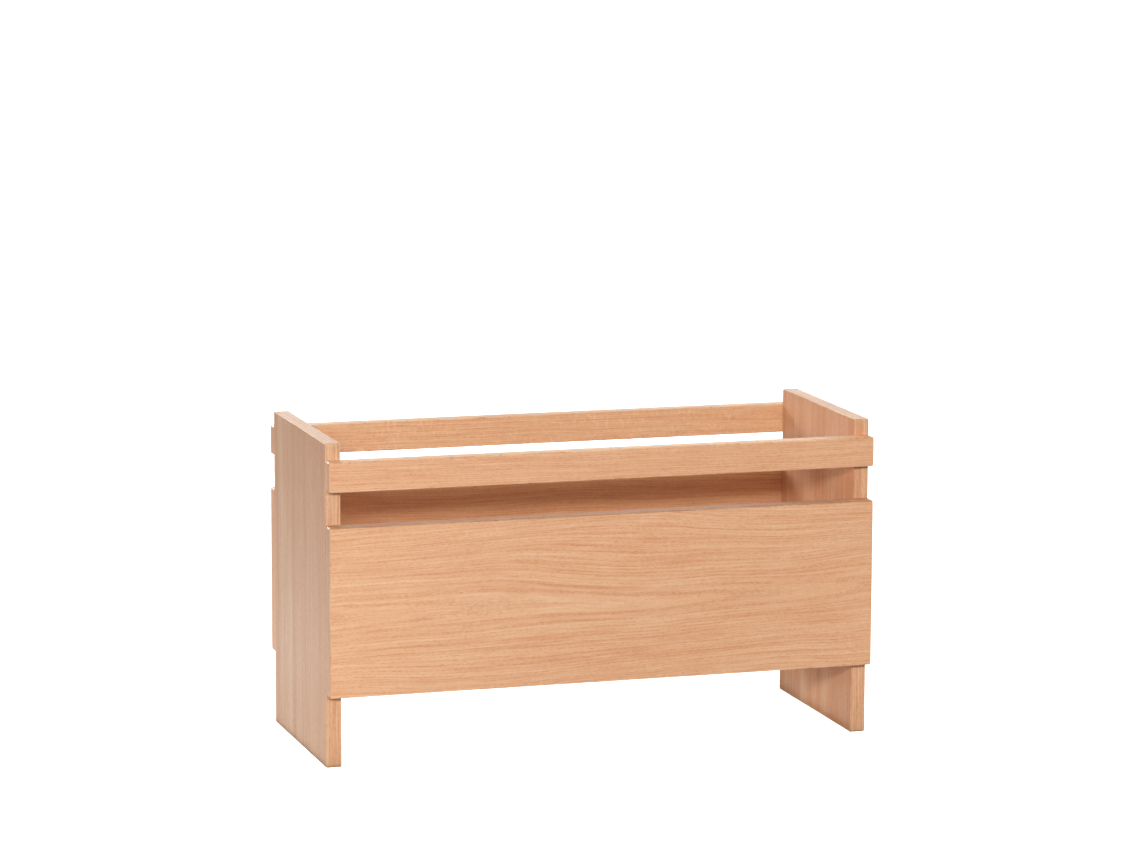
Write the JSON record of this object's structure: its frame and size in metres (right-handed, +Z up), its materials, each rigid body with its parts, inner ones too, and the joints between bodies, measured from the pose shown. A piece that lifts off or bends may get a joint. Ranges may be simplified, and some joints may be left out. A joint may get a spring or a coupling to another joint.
{
  "type": "magazine rack",
  "caption": "Low rectangular magazine rack in oak-veneered board: upright ends as legs, wide long panels, slim rails above a hand slot, and a raised floor inside.",
  "frame": {"origin": "on the floor, under the middle of the rack", "axes": "+X along the rack to its right end as seen from the front, +Y from the front to the rear, +Z up"},
  "size_m": [0.49, 0.21, 0.28],
  "materials": {
    "oak_veneer": "clear matt lacquer",
    "oak_edge_band": "clear matt lacquer",
    "board_core": "raw medium-density fibreboard",
    "beech_dowel": "raw beech, fluted"
  },
  "bodies": {
    "root": {"bottom_board_core": "board_core", "bottom_board_front_dowels": "beech_dowel", "bottom_board_left_dowels": "beech_dowel", "bottom_board_rear_dowels": "beech_dowel", "bottom_board_right_dowels": "beech_dowel", "bottom_board_top_veneer": "oak_veneer", "bottom_board_underside_veneer": "oak_veneer", "front_panel_bottom_band": "oak_edge_band", "front_panel_core": "board_core", "front_panel_dowels": "beech_dowel", "front_panel_inner_veneer": "oak_veneer", "front_panel_left_band": "oak_edge_band", "front_panel_outer_veneer": "oak_veneer", "front_panel_right_band": "oak_edge_band", "front_panel_top_band": "oak_edge_band", "front_rail_bottom_band": "oak_edge_band", "front_rail_core": "board_core", "front_rail_dowels": "beech_dowel", "front_rail_inner_veneer": "oak_veneer", "front_rail_left_band": "oak_edge_band", "front_rail_outer_veneer": "oak_veneer", "front_rail_right_band": "oak_edge_band", "front_rail_top_band": "oak_edge_band", "left_side_core": "board_core", "left_side_foot_band": "oak_edge_band", "left_side_front_band": "oak_edge_band", "left_side_inner_veneer": "oak_veneer", "left_side_outer_veneer": "oak_veneer", "left_side_rear_band": "oak_edge_band", "left_side_top_band": "oak_edge_band", "rear_panel_bottom_band": "oak_edge_band", "rear_panel_core": "board_core", "rear_panel_dowels": "beech_dowel", "rear_panel_inner_veneer": "oak_veneer", "rear_panel_left_band": "oak_edge_band", "rear_panel_outer_veneer": "oak_veneer", "rear_panel_right_band": "oak_edge_band", "rear_panel_top_band": "oak_edge_band", "rear_rail_bottom_band": "oak_edge_band", "rear_rail_core": "board_core", "rear_rail_dowels": "beech_dowel", "rear_rail_inner_veneer": "oak_veneer", "rear_rail_left_band": "oak_edge_band", "rear_rail_outer_veneer": "oak_veneer", "rear_rail_right_band": "oak_edge_band", "rear_rail_top_band": "oak_edge_band", "right_side_core": "board_core", "right_side_foot_band": "oak_edge_band", "right_side_front_band": "oak_edge_band", "right_side_inner_veneer": "oak_veneer", "right_side_outer_veneer": "oak_veneer", "right_side_rear_band": "oak_edge_band", "right_side_top_band": "oak_edge_band"}
  },
  "joints": []
}
